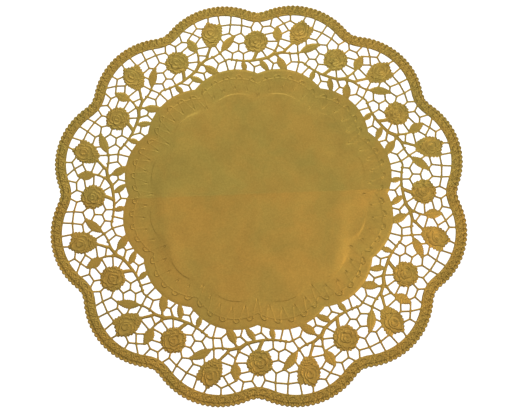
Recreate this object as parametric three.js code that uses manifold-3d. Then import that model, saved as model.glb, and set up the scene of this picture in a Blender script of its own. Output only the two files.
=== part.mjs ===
// A round paper doily: one embossed sheet with a scalloped rim, a lace ring of roses and leaves
// in an irregular net, and a plain disc in the middle.
// Units are millimetres. +Z is up, and the origin is on the underside, at the middle of the disc.
import * as THREE from "three";
import { ConvexGeometry } from "three/addons/geometries/ConvexGeometry.js";
import { mergeVertices } from "three/addons/utils/BufferGeometryUtils.js";
import Module from "manifold-3d";

const wasm = await Module();
wasm.setup();

// Driving dimensions
const REPEATS = 12; // scallops round the rim, and repeats of the lace
const SHEET = 1.0; // thickness of the flat sheet
const RIM_PEAK = 180; // centre to the top of a rim scallop
const RIM_ARC = 60.9; // radius of a rim scallop's own arc
const RIM_HOLLOW = 18.9; // radius of the rounded valley between two scallops
const RIM_WIDTH = 10.0; // width of the beaded rim, teeth included
const PICOT_PITCH = 4.24; // one little tooth of the outer edge, along the scallop
const PICOT_DEPTH = 1.2;
const DISC_PEAK = 117; // centre to the top of a scallop of the disc
const DISC_ARC = 45.4; // radius of that scallop's own arc
const BAR_WIDTH = 1.55; // a bar of the net
const BURIED = 1.6; // how far a bar's end runs into the form that holds it
const GAPS_CUT = 25; // gaps cut in each repeat, the largest first
const GAP_DETAIL = 0.5; // a corner that stands out less than this is left off a gap
const FIELD_SPILL = 8; // degrees past one repeat, on each side, in which its gaps are looked for

// Embossing above the sheet
const SUNK = 0.3; // how deep a raised form starts inside the sheet
const ROSE_RISE = 0.6;
const LEAF_RISE = 0.4;
const RELIEF_INSET = 0.12; // share by which a raised form is drawn in from its outline
const MIDDLE_RISE = 0.25;
const MIDDLE = { peak: 93.5, arc: 27.9, steps: 6 }; // the scalloped line round the disc's plain middle

const HALF = Math.PI / REPEATS; // half of one repeat's angle

// One repeat's chart. A place is [degrees clockwise from the repeat's first valley, mm from the centre].
// Capital letters are knots of the net. The others are bar ends: r in the rim, a in the outer rose,
// b in the inner rose, l in a leaf, s in a stem, v in the vine and d in the disc.
const CHART = {
  A: [1.7, 155.3], B: [4.2, 156.4], C: [8.5, 160.0], D: [10.4, 154.0], E: [10.4, 163.5],
  F: [21.2, 159.4], G: [24.8, 157.4], H: [27.8, 154.7], I: [20.3, 151.1], J: [24.3, 149.9],
  K: [23.1, 139.9], L: [22.65, 133.4], M: [13.9, 124.8], N: [16.9, 126.3], O: [3.8, 125.4],
  P: [6.7, 120.7], Q: [28.6, 116.8], S: [20.3, 131.8], T: [24.4, 130.1], U: [15.0, 138.0],
  r1: [0.5, 160.0], r2: [4.6, 164.0], r3: [6.2, 165.5], r4: [10.1, 169.0], r5: [14.8, 170.5],
  r6: [17.85, 170.0], r7: [21.8, 168.0], r8: [24.95, 164.5], r9: [28.9, 160.0],
  a1: [12.1, 161.3], a2: [11.2, 153.9], a3: [11.8, 143.5], a4: [14.3, 165.0], a5: [17.8, 161.5],
  a6: [17.9, 159.8], a7: [17.5, 150.8], a8: [17.1, 147.2], a9: [14.5, 142.5],
  b1: [1.1, 150.5], b2: [2.8, 148.0], b3: [3.9, 141.3], b4: [3.3, 135.5], b5: [-4.5, 145.9],
  b6: [-1.8, 150.5], b7: [-5.0, 140.5], b8: [-3.5, 132.0], b9: [1.8, 131.8],
  l1: [5.8, 154.0], l2: [6.7, 156.6], l3: [8.4, 149.9], l4: [8.6, 144.7], l5: [5.5, 150.1],
  l6: [6.5, 142.0], l7: [21.5, 148.0], l8: [22.2, 148.2], l9: [17.8, 142.8], l10: [21.6, 142.3],
  l11: [18.4, 135.7], l12: [12.9, 121.8], l13: [0.6, 118.4], l14: [8.4, 121.9],
  s1: [6.4, 133.0], s2: [7.9, 138.1], s3: [10.0, 135.6], s4: [15.5, 134.5], s5: [12.5, 132.0],
  s6: [15.6, 134.0], v1: [19.6, 126.7], v2: [24.2, 124.2], v3: [21.3, 123.8], v4: [26.3, 122.0],
  d1: [17.1, 116.5], d2: [19.8, 116.3], d3: [28.4, 112.0], d4: [6.3, 115.0],
};

// Bars of the net, from place to place. A + is the same place in the next repeat.
const BARS = [
  "r1 A B r2", "r3 C E r4", "A b1", "B l1", "l2 C D l3", "E a1", "D a2", "l4 a3", "b2 l5", "b3 l6",
  "b4 s1", "s2 s3", "r5 a4", "r6 a5", "a6 F G H r9", "r7 F I l7", "a7 I", "r8 G J l8", "J b5+",
  "H b6+", "a8 l9", "l10 K b7+", "K L S l11", "L T b8+", "S v1", "T v2", "a9 U s4", "s5 M N d1",
  "M l12", "s6 N", "v3 d2", "v4 Q d3", "Q l13+", "b9 O P d4", "O P l14",
];

// Stems, with the width at each end
const STEMS = [
  { wide: [1.7, 2.2], path: [[16.6, 126.2], [18.2, 126.9], [20.6, 125.0], [26.0, 122.7]] },
  { wide: [2.2, 3.5], path: [[26.0, 122.7], [30.0, 123.5], [34.0, 125.6], [36.4, 129.6]] },
  { wide: [3.0, 2.4], path: [[7.0, 130.0], [10.0, 132.6], [11.0, 136.5], [12.8, 143.0]] },
  { wide: [2.2, 1.8], path: [[6.3, 130.0], [7.1, 135.5], [7.6, 142.5]] },
  { wide: [2.0, 1.7], path: [[9.6, 132.0], [14.0, 133.0], [16.6, 136.0]] },
  { wide: [2.4, 2.0], path: [[6.8, 130.0], [8.4, 127.2]] },
  { wide: [3.6, 3.0], path: [[-0.2, 131.5], [-1.8, 123.3]] },
];

// Leaves, from base to tip. The widest place is a share of the length. The first three are the big
// ones, with a raised midrib.
const BIG_LEAVES = 3;
const LEAVES = [
  { base: [7.6, 142.0], tip: [6.5, 156.8], wide: 8.6, widest: 0.42 },
  { base: [16.0, 135.2], tip: [22.2, 148.6], wide: 7.6, widest: 0.45 },
  { base: [8.1, 127.6], tip: [13.0, 115.0], wide: 7.5, widest: 0.45 },
  { base: [23.8, 123.4], tip: [24.4, 112.8], wide: 5.0, widest: 0.5 },
  { base: [0.9, 123.8], tip: [5.2, 113.0], wide: 5.5, widest: 0.5 },
];

// The outer rose is a bud seen from the side: its outline's places, clockwise from the tip.
const BUD = [
  [14.2, 166.3], [18.3, 160.7], [18.0, 154.5], [16.9, 146.8], [14.6, 142.0], [12.4, 142.2],
  [11.1, 148.0], [10.9, 155.5], [12.0, 161.0],
];

// The inner rose is open: an even ring about its middle.
const ROSE = { middle: [-0.6, 140.8], across: 22.0, sides: 10 };

// A place of the chart in the repeat with this number
function place([angle, radius], repeat = 0) {
  const turn = (repeat * 360) / REPEATS - angle;
  const rad = THREE.MathUtils.degToRad(turn);
  return new THREE.Vector2(radius * Math.cos(rad), radius * Math.sin(rad));
}

// A named place. The name's + moves it on by one repeat.
function named(name) {
  const [angle, radius] = CHART[name.replace("+", "")];
  return place([name.endsWith("+") ? angle + 360 / REPEATS : angle, radius]);
}

// Half of the angle that a pointed scallop takes about its own arc's centre
function halfSweep(peak, arc) {
  const centre = peak - arc;
  const valley = centre * Math.cos(HALF) + Math.sqrt(arc ** 2 - (centre * Math.sin(HALF)) ** 2);
  return Math.atan2(valley * Math.sin(HALF), valley * Math.cos(HALF) - centre);
}

// The rim's course. Its scallops are arcs about one centre, joined by an arc in each valley.
const rimCentre = RIM_PEAK - RIM_ARC;
const hollowReach = rimCentre * Math.cos(HALF)
  + Math.sqrt((RIM_ARC + RIM_HOLLOW) ** 2 - (rimCentre * Math.sin(HALF)) ** 2);
const hollowCentre = new THREE.Vector2(Math.cos(HALF), Math.sin(HALF)).multiplyScalar(hollowReach);
const arcSweep = Math.atan2(hollowCentre.y, hollowCentre.x - rimCentre);
const arcLength = arcSweep * RIM_ARC;
const halfLength = arcLength + (arcSweep - HALF) * RIM_HOLLOW;

// A point of the rim, this far along the outer edge from the scallop's axis and this far in from it
function onRim(along, inset, lobe) {
  const away = Math.abs(along);
  const point = new THREE.Vector2();
  if (away <= arcLength) {
    const sweep = away / RIM_ARC;
    point.set(Math.cos(sweep), Math.sin(sweep)).multiplyScalar(RIM_ARC - inset);
    point.x += rimCentre;
  } else {
    const sweep = arcSweep - (away - arcLength) / RIM_HOLLOW;
    point.set(-Math.cos(sweep), -Math.sin(sweep)).multiplyScalar(RIM_HOLLOW + inset);
    point.add(hollowCentre);
  }
  point.y *= Math.sign(along) || 1;
  return point.rotateAround(new THREE.Vector2(), (2 * lobe + 1) * HALF);
}

// A closed line round the rim at one inset
function rimLine(inset, steps) {
  return Array.from({ length: REPEATS * steps }, (_, i) => {
    const along = halfLength * ((2 * (i % steps)) / steps - 1);
    return onRim(along, inset, Math.floor(i / steps));
  });
}

// A point of the scallop whose axis lies at this angle
function onScallop(peak, arc, sweep, axis) {
  const point = new THREE.Vector2(peak - arc + arc * Math.cos(sweep), arc * Math.sin(sweep));
  return point.rotateAround(new THREE.Vector2(), axis);
}

// A closed line of scallops, each from valley to peak to valley
function scalloped(peak, arc, steps) {
  const reach = halfSweep(peak, arc);
  const points = [];
  for (let lobe = 0; lobe < REPEATS; lobe += 1) {
    const axis = (2 * lobe + 1) * HALF;
    for (let step = 0; step < steps; step += 1) {
      points.push(onScallop(peak, arc, reach * ((2 * step) / steps - 1), axis));
    }
  }
  return points;
}

// The outer edge, with a notch and a tip for each little tooth
function toothedEdge() {
  const teeth = Math.floor(halfLength / PICOT_PITCH);
  const points = [];
  for (let lobe = 0; lobe < REPEATS; lobe += 1) {
    for (let half = -2 * teeth; half <= 2 * teeth; half += 1) {
      points.push(onRim((half * PICOT_PITCH) / 2, half % 2 === 0 ? PICOT_DEPTH : 0, lobe));
    }
  }
  return points;
}

// A closed geometry as a solid that joins and cuts
function solid(geometry) {
  const bare = geometry.index ? geometry.toNonIndexed() : geometry.clone();
  bare.deleteAttribute("normal");
  bare.deleteAttribute("uv");
  const merged = mergeVertices(bare, 1e-4);
  return new wasm.Manifold(new wasm.Mesh({
    numProp: 3,
    vertProperties: new Float32Array(merged.attributes.position.array),
    triVerts: new Uint32Array(merged.index.array),
  }));
}

// A flat outline, with any holes, as a solid from z = 0 up
function plate(points, height, holes = []) {
  const shape = new THREE.Shape(points);
  shape.holes = holes.map((hole) => new THREE.Path(hole));
  return solid(new THREE.ExtrudeGeometry(shape, { depth: height, bevelEnabled: false }));
}

// A low raised form on the sheet, from its foot up to a smaller top
function raised(foot, top, rise) {
  const low = foot.map((p) => new THREE.Vector3(p.x, p.y, SHEET - SUNK));
  const high = top.map((p) => new THREE.Vector3(p.x, p.y, SHEET + rise));
  return solid(new ConvexGeometry([...low, ...high]));
}

function unite(solids) {
  return solids.reduce((all, next) => all.add(next));
}

// A strip of even or tapering width along a path
function strip(path, from, to) {
  const parts = [];
  for (let i = 1; i < path.length; i += 1) {
    const wide = [i - 1, i].map((k) => (from + ((to - from) * k) / (path.length - 1)) / 2);
    const along = path[i].clone().sub(path[i - 1]).normalize();
    const side = new THREE.Vector2(-along.y, along.x);
    const corner = (point, reach, across) =>
      point.clone().addScaledVector(along, reach).addScaledVector(side, across);
    const lap = i > 1 ? wide[0] * 0.6 : 0;
    parts.push(plate([
      corner(path[i - 1], -lap, -wide[0]), corner(path[i], 0, -wide[1]),
      corner(path[i], 0, wide[1]), corner(path[i - 1], -lap, wide[0]),
    ], SHEET));
  }
  return unite(parts);
}

// A bar of the net. Its ends run on into the forms that hold them, but not past a knot.
function bar(names) {
  const path = names.map(named);
  const buried = (name, end, next) => {
    if (CHART[name.replace("+", "")] && /^[A-Z]/.test(name)) return end;
    return end.clone().addScaledVector(end.clone().sub(next).normalize(), BURIED);
  };
  const last = path.length - 1;
  const first = buried(names[0], path[0], path[1]);
  const final = buried(names[last], path[last], path[last - 1]);
  return strip([first, ...path.slice(1, last), final], BAR_WIDTH, BAR_WIDTH);
}

// A leaf's outline: base, one side, tip, other side
function leafOutline({ base, tip, wide, widest }, repeat = 0) {
  const from = place(base, repeat);
  const along = place(tip, repeat).sub(from);
  const side = new THREE.Vector2(-along.y, along.x).normalize();
  const at = (share, across) =>
    from.clone().addScaledVector(along, share).addScaledVector(side, across);
  const shoulder = widest + (1 - widest) * 0.5;
  return [
    at(0, 0), at(widest * 0.4, -wide * 0.36), at(widest, -wide / 2), at(shoulder, -wide * 0.36),
    at(1, 0), at(shoulder, wide * 0.36), at(widest, wide / 2), at(widest * 0.4, wide * 0.36),
  ];
}

function roseOutline(scale = 1, repeat = 0, sides = ROSE.sides) {
  const middle = place(ROSE.middle, repeat);
  return Array.from({ length: sides }, (_, i) => {
    const turn = ((i + 0.5) * 2 * Math.PI) / sides + (repeat * 2 * Math.PI) / REPEATS;
    const reach = (ROSE.across * scale) / 2;
    return new THREE.Vector2(Math.cos(turn), Math.sin(turn)).multiplyScalar(reach).add(middle);
  });
}

// The same outline drawn in towards its own middle
function drawnIn(points, share) {
  const middle = points.reduce((sum, p) => sum.add(p), new THREE.Vector2()).divideScalar(points.length);
  return points.map((p) => p.clone().lerp(middle, share));
}

// Everything of one repeat that stays in the lace ring
function laceOfOneRepeat() {
  return unite([
    ...BARS.map((text) => bar(text.split(" "))),
    ...STEMS.map(({ wide, path }) => strip(path.map((p) => place(p)), wide[0], wide[1])),
    ...LEAVES.map((leaf) => plate(leafOutline(leaf), SHEET)),
    plate(roseOutline(), SHEET),
    plate(BUD.map((p) => place(p)), SHEET),
  ]);
}

// Closed outlines of a flat solid's underside
function undersideLoops(body) {
  const mesh = body.getMesh();
  const { vertProperties, triVerts, numProp } = mesh;
  const flat = (v) => Math.abs(vertProperties[v * numProp + 2]) < 1e-4;
  const next = new Map();
  const edges = new Set();
  for (let t = 0; t < triVerts.length; t += 3) {
    const corners = [triVerts[t], triVerts[t + 1], triVerts[t + 2]];
    if (corners.every(flat)) {
      corners.forEach((v, i) => edges.add(`${v} ${corners[(i + 1) % 3]}`));
    }
  }
  for (const edge of edges) {
    const [from, to] = edge.split(" ").map(Number);
    if (!edges.has(`${to} ${from}`)) next.set(from, to);
  }
  const loops = [];
  while (next.size > 0) {
    const loop = [];
    let at = next.keys().next().value;
    while (next.has(at)) {
      loop.push(new THREE.Vector2(vertProperties[at * numProp], vertProperties[at * numProp + 1]));
      const on = next.get(at);
      next.delete(at);
      at = on;
    }
    loops.push(loop);
  }
  return loops;
}

// An outline without the corners that hardly stand out
function simplified(points, detail) {
  const kept = [...points];
  const standsOut = (i) => {
    const before = kept[(i + kept.length - 1) % kept.length];
    const after = kept[(i + 1) % kept.length];
    const line = after.clone().sub(before);
    return Math.abs(line.cross(kept[i].clone().sub(before))) / Math.max(line.length(), 1e-6);
  };
  while (kept.length > 3) {
    const heights = kept.map((_, i) => standsOut(i));
    const least = heights.indexOf(Math.min(...heights));
    if (heights[least] > detail) break;
    kept.splice(least, 1);
  }
  return kept;
}

// The outlines of one repeat's largest gaps: what the lace leaves open between the rim and the disc
function largestGaps() {
  const one = laceOfOneRepeat();
  const step = 360 / REPEATS;
  const lace = unite([one, one.rotate([0, 0, step]), one.rotate([0, 0, -step])]);
  const angles = [-FIELD_SPILL, step / 2, step + FIELD_SPILL];
  const near = angles.map((angle) => place([angle, DISC_PEAK * 0.85]));
  const far = angles.map((angle) => place([angle, RIM_PEAK]));
  const field = plate([...far, ...near.reverse()], SHEET);
  const inner = plate(rimLine(RIM_WIDTH, 12), SHEET);
  const disc = plate(scalloped(DISC_PEAK, DISC_ARC, 10), SHEET);
  const open = field.intersect(inner).subtract(disc).subtract(lace);
  const inRepeat = (loop) => {
    const middle = loop.reduce((sum, p) => sum.add(p), new THREE.Vector2()).divideScalar(loop.length);
    const angle = -THREE.MathUtils.radToDeg(Math.atan2(middle.y, middle.x));
    return angle >= 0 && angle < step;
  };
  return undersideLoops(open)
    .filter(inRepeat)
    .sort((p, q) => Math.abs(THREE.ShapeUtils.area(q)) - Math.abs(THREE.ShapeUtils.area(p)))
    .slice(0, GAPS_CUT)
    .map((loop) => simplified(loop, GAP_DETAIL));
}

function turned(points, repeat) {
  const turn = (repeat * 2 * Math.PI) / REPEATS;
  return points.map((p) => p.clone().rotateAround(new THREE.Vector2(), turn));
}

function flatSheet() {
  const gaps = largestGaps();
  const holes = [];
  for (let repeat = 0; repeat < REPEATS; repeat += 1) {
    gaps.forEach((gap) => holes.push(turned(gap, repeat)));
  }
  return plate(toothedEdge(), SHEET, holes);
}

// Embossed roses and leaves of one repeat
function reliefOf(repeat) {
  const leaf = (row) => {
    const outline = drawnIn(leafOutline(row, repeat), RELIEF_INSET);
    const foot = [outline[0], outline[2], outline[4], outline[6]];
    const spine = [0.25, 0.75].map((share) => outline[0].clone().lerp(outline[4], share));
    return raised(foot, spine, LEAF_RISE);
  };
  const bud = drawnIn(BUD.map((p) => place(p, repeat)), RELIEF_INSET);
  const heart = drawnIn(bud.filter((_, i) => i % 2 === 0), 0.55);
  const rose = roseOutline(1 - RELIEF_INSET, repeat, 8);
  const middle = roseOutline(0.42, repeat, 4);
  return [
    ...LEAVES.slice(0, BIG_LEAVES).map(leaf),
    raised(rose, middle, ROSE_RISE),
    raised(bud, heart, ROSE_RISE),
  ];
}

// The plain middle of the disc, which stands a little above its border
function plainMiddle() {
  const outline = scalloped(MIDDLE.peak, MIDDLE.arc, MIDDLE.steps);
  return plate(outline, SHEET + MIDDLE_RISE - SUNK).translate([0, 0, SUNK]);
}

function doily() {
  const pieces = [flatSheet(), plainMiddle()];
  for (let repeat = 0; repeat < REPEATS; repeat += 1) {
    pieces.push(...reliefOf(repeat));
  }
  return unite(pieces);
}

function toGeometry(body) {
  const mesh = body.getMesh();
  const geometry = new THREE.BufferGeometry();
  geometry.setAttribute("position", new THREE.BufferAttribute(new Float32Array(mesh.vertProperties), 3));
  geometry.setIndex(new THREE.BufferAttribute(new Uint32Array(mesh.triVerts), 1));
  geometry.computeVertexNormals();
  return geometry;
}

const goldPaper = new THREE.MeshStandardMaterial({ color: 0xb0903f, roughness: 0.4, metalness: 0.85 });
const mesh = new THREE.Mesh(toGeometry(doily()), goldPaper);
mesh.name = "doily";

const group = new THREE.Group();
group.name = "paper_doily";
group.add(mesh);

export default group;
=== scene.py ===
# A gold foil paper doily: one embossed sheet with a toothed rim, a lace ring and a plain disc
import math
from math import pi

import bpy
import numpy as np
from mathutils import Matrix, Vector
from mathutils.geometry import delaunay_2d_cdt
from numpy import concatenate as joined
from numpy import arange, arctan2, array, clip, cos, full, hypot, maximum, minimum, radians, roll, sin
from numpy import stack, unique, where, zeros
from numpy.linalg import norm


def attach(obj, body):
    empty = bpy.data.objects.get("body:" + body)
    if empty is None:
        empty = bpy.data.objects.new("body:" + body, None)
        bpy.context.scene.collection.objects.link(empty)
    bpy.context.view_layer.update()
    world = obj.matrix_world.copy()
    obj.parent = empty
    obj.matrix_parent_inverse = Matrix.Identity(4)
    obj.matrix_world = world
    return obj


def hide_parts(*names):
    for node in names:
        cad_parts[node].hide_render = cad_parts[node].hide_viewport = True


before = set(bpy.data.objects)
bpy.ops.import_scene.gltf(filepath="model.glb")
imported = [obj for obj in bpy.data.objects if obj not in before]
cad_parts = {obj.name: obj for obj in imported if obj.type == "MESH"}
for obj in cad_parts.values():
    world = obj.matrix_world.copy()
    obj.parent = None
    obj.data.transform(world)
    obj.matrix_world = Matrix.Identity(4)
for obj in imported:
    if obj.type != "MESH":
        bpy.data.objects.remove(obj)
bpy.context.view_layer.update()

MM = 0.001
TINY = 1e-9  # keeps a division safe

# Driving sizes in millimetres, the same as the solid's
REPEATS = 12
HALF = pi / REPEATS  # half a repeat, in radians
STEP = 360 / REPEATS  # a repeat, in degrees
TURNS = (-2 * HALF, 0.0, 2 * HALF)  # bring the repeats on both sides over the first
RIM_PEAK = 180.0
RIM_ARC = 60.9
RIM_HOLLOW = 18.9
RIM_WIDTH = 10.0
PICOT_PITCH = 4.24
PICOT_DEPTH = 1.2
DISC = {"peak": 117.0, "arc": 45.4}
BAR_WIDTH = 1.55
BURIED = 1.6  # how far a bar runs on inside what it meets
FILLET = 0.26  # how softly the forms of the lace run into each other

# Heights of the flat front and back, and the share of the embossing that shows behind
BASE = 0.20
BACK = 0.02
BACK_SHARE = 0.3

# Heights of the embossing above the flat front, and how wide its slopes are
BAR_RISE = 0.32
BAR_SLOPE = 0.65
STEM_RISE = 0.34
STEM_SLOPE = 1.0
LEAF_RISE = 0.36
RIM_RISE = 0.32
BORDER_RISE = 0.22
MIDDLE_RISE = 0.22  # the plain middle of the disc, above its border
EDGE_SLOPE = 0.6  # the embossing dies out over this towards a cut edge

# One repeat's chart: degrees clockwise from the repeat's first valley, and mm from the centre.
# Capital letters are knots of the net. The others are bar ends: r in the rim, a in the outer rose,
# b in the inner rose, l in a leaf, s in a stem, v in the vine and d in the disc.
CHART = {
    "A": (1.7, 155.3), "B": (4.2, 156.4), "C": (8.5, 160.0), "D": (10.4, 154.0), "E": (10.4, 163.5),
    "F": (21.2, 159.4), "G": (24.8, 157.4), "H": (27.8, 154.7), "I": (20.3, 151.1), "J": (24.3, 149.9),
    "K": (23.1, 139.9), "L": (22.65, 133.4), "M": (13.9, 124.8), "N": (16.9, 126.3), "O": (3.8, 125.4),
    "P": (6.7, 120.7), "Q": (28.6, 116.8), "S": (20.3, 131.8), "T": (24.4, 130.1), "U": (15.0, 138.0),
    "r1": (0.5, 160.0), "r2": (4.6, 164.0), "r3": (6.2, 165.5), "r4": (10.1, 169.0),
    "r5": (14.8, 170.5), "r6": (17.85, 170.0), "r7": (21.8, 168.0), "r8": (24.95, 164.5),
    "r9": (28.9, 160.0),
    "a1": (12.1, 161.3), "a2": (11.2, 153.9), "a3": (11.8, 143.5), "a4": (14.3, 165.0),
    "a5": (17.8, 161.5), "a6": (17.9, 159.8), "a7": (17.5, 150.8), "a8": (17.1, 147.2),
    "a9": (14.5, 142.5),
    "b1": (1.1, 150.5), "b2": (2.8, 148.0), "b3": (3.9, 141.3), "b4": (3.3, 135.5), "b5": (-4.5, 145.9),
    "b6": (-1.8, 150.5), "b7": (-5.0, 140.5), "b8": (-3.5, 132.0), "b9": (1.8, 131.8),
    "l1": (5.8, 154.0), "l2": (6.7, 156.6), "l3": (8.4, 149.9), "l4": (8.6, 144.7), "l5": (5.5, 150.1),
    "l6": (6.5, 142.0), "l7": (21.5, 148.0), "l8": (22.2, 148.2), "l9": (17.8, 142.8),
    "l10": (21.6, 142.3), "l11": (18.4, 135.7), "l12": (12.9, 121.8), "l13": (0.6, 118.4),
    "l14": (8.4, 121.9),
    "s1": (6.4, 133.0), "s2": (7.9, 138.1), "s3": (10.0, 135.6), "s4": (15.5, 134.5),
    "s5": (12.5, 132.0), "s6": (15.6, 134.0),
    "v1": (19.6, 126.7), "v2": (24.2, 124.2), "v3": (21.3, 123.8), "v4": (26.3, 122.0),
    "d1": (17.1, 116.5), "d2": (19.8, 116.3), "d3": (28.4, 112.0), "d4": (6.3, 115.0),
}

# Bars of the net, from place to place. A + is the same place in the next repeat.
BARS = [
    "r1 A B r2", "r3 C E r4", "A b1", "B l1", "l2 C D l3", "E a1", "D a2", "l4 a3", "b2 l5", "b3 l6",
    "b4 s1", "s2 s3", "r5 a4", "r6 a5", "a6 F G H r9", "r7 F I l7", "a7 I", "r8 G J l8", "J b5+",
    "H b6+", "a8 l9", "l10 K b7+", "K L S l11", "L T b8+", "S v1", "T v2", "a9 U s4", "s5 M N d1",
    "M l12", "s6 N", "v3 d2", "v4 Q d3", "Q l13+", "b9 O P d4", "O P l14",
]

# Stems: the vine in two lengths, then the twigs of the bud, the leaves and the open rose
STEMS = [
    {"wide": (1.7, 2.2), "path": [
        (16.6, 126.2), (18.2, 126.9), (19.4, 126.2), (20.6, 125.0), (22.0, 124.1), (24.0, 123.3),
        (26.0, 122.7)]},
    {"wide": (2.2, 3.5), "path": [
        (26.0, 122.7), (28.0, 122.9), (30.0, 123.5), (32.0, 124.4), (34.0, 125.6), (35.0, 127.2),
        (36.3, 129.8)]},
    {"wide": (3.0, 2.4), "path": [
        (6.8, 129.8), (8.5, 131.2), (10.0, 132.6), (10.4, 134.0), (11.0, 136.5), (11.8, 139.0),
        (12.8, 143.0)]},
    {"wide": (2.2, 1.8), "path": [(6.3, 130.0), (6.7, 133.0), (7.1, 135.5), (7.5, 138.5), (7.6, 142.5)]},
    {"wide": (2.0, 1.7), "path": [(9.6, 131.8), (12.5, 132.3), (14.0, 133.0), (15.5, 134.3), (16.6, 136.0)]},
    {"wide": (2.4, 2.0), "path": [(6.8, 130.0), (7.8, 128.6), (8.4, 127.0)]},
    {"wide": (3.6, 3.0), "path": [(-0.2, 132.0), (-0.9, 127.5), (-1.9, 123.2)]},
]

# Leaves, from base to tip. The widest place is a share of the length, and the bend is sideways.
LEAVES = [
    {"base": (7.6, 141.6), "tip": (6.5, 156.9), "wide": 8.6, "widest": 0.45, "bend": 0.5},
    {"base": (16.0, 135.0), "tip": (22.2, 148.8), "wide": 7.6, "widest": 0.47, "bend": 0.5},
    {"base": (8.1, 127.8), "tip": (13.1, 114.8), "wide": 7.5, "widest": 0.46, "bend": -0.6},
    {"base": (23.7, 123.6), "tip": (24.4, 112.6), "wide": 5.2, "widest": 0.5, "bend": 0.3},
    {"base": (0.8, 124.0), "tip": (5.3, 112.8), "wide": 5.7, "widest": 0.48, "bend": -0.4},
]
LEAF_TOOTH = {"pitch": 1.9, "depth": 0.42}
LEAF_POINTS = 40
LEAF_TAPER = 0.85

# The outer rose is a bud seen from the side: its outline clockwise from the tip
BUD = [
    (14.2, 166.2), (16.0, 163.3), (18.1, 160.6), (18.25, 156.5), (17.7, 151.0), (16.6, 146.0),
    (14.7, 142.0), (12.6, 141.8), (11.4, 145.6), (10.95, 150.5), (11.0, 156.0), (11.9, 160.6),
    (13.0, 163.6),
]
BUD_AXIS = ((13.5, 141.5), (14.5, 165.0))
BUD_WIDE = 19.0
BUD_POINTS = 12
# The inner rose is open and round, with slight bulges
ROSE = {"middle": (-0.6, 140.8), "across": 21.2, "bulges": 5, "turn": 0.6, "bulge": 0.03, "points": 180}
ROSE_TOOTH = {"pitch": 2.9, "depth": 1.25}
UNEVEN = {"by": 0.28, "turn": 1.1}  # a rose's teeth are deeper on some sides
TOOTH_POINTS = 8
TOOTH_MEAN = 0.6  # the share of its teeth's depth at which an outline runs


def turned(points, angle):
    """Points turned about the centre, in radians."""
    x, y = np.moveaxis(np.asarray(points, float), -1, 0)
    cosine, sine = math.cos(angle), math.sin(angle)
    return stack([x * cosine - y * sine, x * sine + y * cosine], -1)


def polar(points):
    """Turn in radians and distance from the centre."""
    return arctan2(points[..., 1], points[..., 0]), hypot(points[..., 0], points[..., 1])


def spoke(turn, radius):
    """Places at a turn in radians and a distance from the centre."""
    return stack([radius * cos(turn), radius * sin(turn)], -1)


def from_chart(angle, radius):
    """Plan places of the chart's angles and radii."""
    return spoke(-radians(angle), radius)


def to_chart(points):
    """The chart's angle in degrees and radius in mm."""
    turn, radius = polar(points)
    return -np.degrees(turn), radius


def place(spot):
    """Plan place of a spot of the chart."""
    return from_chart(*array(spot))


def named(name):
    """Plan place of a name on the chart."""
    angle, radius = CHART[name.replace("+", "")]
    return place((angle + STEP * name.endswith("+"), radius))


# The rim's course: scallop arcs about one centre, joined by an arc in each valley
RIM_CENTRE = RIM_PEAK - RIM_ARC
HOLLOW_REACH = RIM_CENTRE * math.cos(HALF) + math.sqrt(
    (RIM_ARC + RIM_HOLLOW) ** 2 - (RIM_CENTRE * math.sin(HALF)) ** 2)
HOLLOW_X, HOLLOW_Y = HOLLOW_REACH * math.cos(HALF), HOLLOW_REACH * math.sin(HALF)
ARC_SWEEP = math.atan2(HOLLOW_Y, HOLLOW_X - RIM_CENTRE)
ARC_LENGTH = ARC_SWEEP * RIM_ARC
HALF_LENGTH = ARC_LENGTH + (ARC_SWEEP - HALF) * RIM_HOLLOW


def on_rim(along, inset):
    """Plan places this far along the first scallop and this far in."""
    away = abs(along)
    scallop = (RIM_CENTRE, 0) + spoke(minimum(away, ARC_LENGTH) / RIM_ARC, RIM_ARC - inset)
    past = (away - ARC_LENGTH) / RIM_HOLLOW
    valley = (HOLLOW_X, HOLLOW_Y) - spoke(ARC_SWEEP - past, RIM_HOLLOW + inset)
    spot = where((past > 0)[..., None], valley, scallop)
    spot[..., 1] *= where(along < 0, -1.0, 1.0)
    return turned(spot, -HALF)


def rim_place(points):
    """How far along their scallop and in from the rim's course places are."""
    turn, radius = polar(points)
    spot = spoke(turn - (2 * np.floor(turn / (2 * HALF)) + 1) * HALF, radius)
    sign = where(spot[..., 1] < 0, -1.0, 1.0)
    spot[..., 1] = abs(spot[..., 1])
    sweep, reach = polar(spot - (RIM_CENTRE, 0))
    valley_sweep, valley = polar((HOLLOW_X, HOLLOW_Y) - spot)
    past = sweep > ARC_SWEEP
    along = where(past, ARC_LENGTH + (ARC_SWEEP - valley_sweep) * RIM_HOLLOW, sweep * RIM_ARC)
    return along * sign, where(past, valley - RIM_HOLLOW, RIM_ARC - reach)


def scallop_inset(points, scallops):
    """How far in from a line of pointed scallops places are."""
    turn, radius = polar(points)
    turn = np.mod(turn, 2 * HALF) - HALF
    x, y = radius * cos(turn), radius * sin(turn)
    return scallops["arc"] - hypot(maximum(x - (scallops["peak"] - scallops["arc"]), 0), y)


def arc_length(points):
    """How far round a closed line its points are, and its length."""
    steps = norm(roll(points, -1, 0) - points, axis=1)
    return joined([[0], np.cumsum(steps)])


def evenly(points, spacing):
    """A closed line with evenly spaced points."""
    along = arc_length(points)
    count = round(along[-1] / spacing)
    at = arange(count) * along[-1] / count
    loop = joined([points, points[:1]])
    return stack([np.interp(at, along, loop[:, k]) for k in range(2)], -1)


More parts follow.
